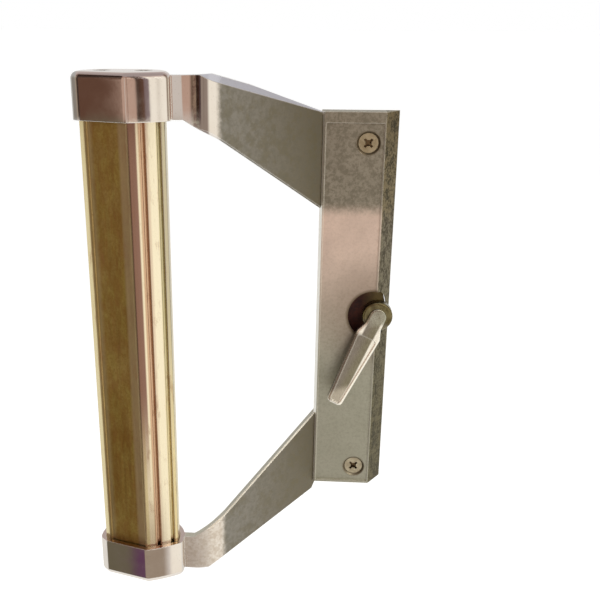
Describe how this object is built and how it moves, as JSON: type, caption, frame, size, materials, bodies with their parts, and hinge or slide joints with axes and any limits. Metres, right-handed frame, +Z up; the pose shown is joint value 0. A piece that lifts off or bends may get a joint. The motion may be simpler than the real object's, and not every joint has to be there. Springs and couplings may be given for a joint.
{
  "type": "sliding door pull handle",
  "caption": "Offset pull handle for a sliding patio door: gold grip bar between plated caps and tapered arms, on a screwed cover plate with a latch lever.",
  "frame": {"origin": "on the door face, midway between the two mounting screws", "axes": "+X to the right along the door, +Y into the door along the mounting screws, +Z up"},
  "size_m": [0.139, 0.1153, 0.2368],
  "materials": {
    "cover_plating": "worn dirty satin plating",
    "arm_plating": "worn bright plating",
    "gold_anodised": "gold-brown anodised, satin",
    "lever_plating": "worn plating",
    "dark_steel": "dark, grimy",
    "bush_brass": "tarnished",
    "spring_steel": "plain",
    "screw_steel": "brassy, worn",
    "small_screw_steel": "plain"
  },
  "bodies": {
    "handle": {"bearing_bush": "bush_brass", "bearing_plate": "dark_steel", "cover_plate": "cover_plating", "grip": "gold_anodised", "lower_arm": "arm_plating", "lower_arm_screw_1": "small_screw_steel", "lower_arm_screw_2": "small_screw_steel", "lower_bearing_screw": "small_screw_steel", "lower_grip_screw_1": "small_screw_steel", "lower_grip_screw_2": "small_screw_steel", "lower_mounting_screw": "screw_steel", "spring_washer": "spring_steel", "upper_arm": "arm_plating", "upper_arm_screw_1": "small_screw_steel", "upper_arm_screw_2": "small_screw_steel", "upper_bearing_screw": "small_screw_steel", "upper_grip_screw_1": "small_screw_steel", "upper_grip_screw_2": "small_screw_steel", "upper_mounting_screw": "screw_steel"},
    "lever": {"latch_lever": "lever_plating", "retaining_clip": "spring_steel", "tailpiece": "spring_steel", "tailpiece_pin": "spring_steel"}
  },
  "joints": [
    {"name": "latch_lever_turn", "type": "hinge", "parent": "handle", "child": "lever", "pos_m": [0.0083, 0, 0], "axis": [0, 1, 0], "range_deg": [0, 90]}
  ]
}
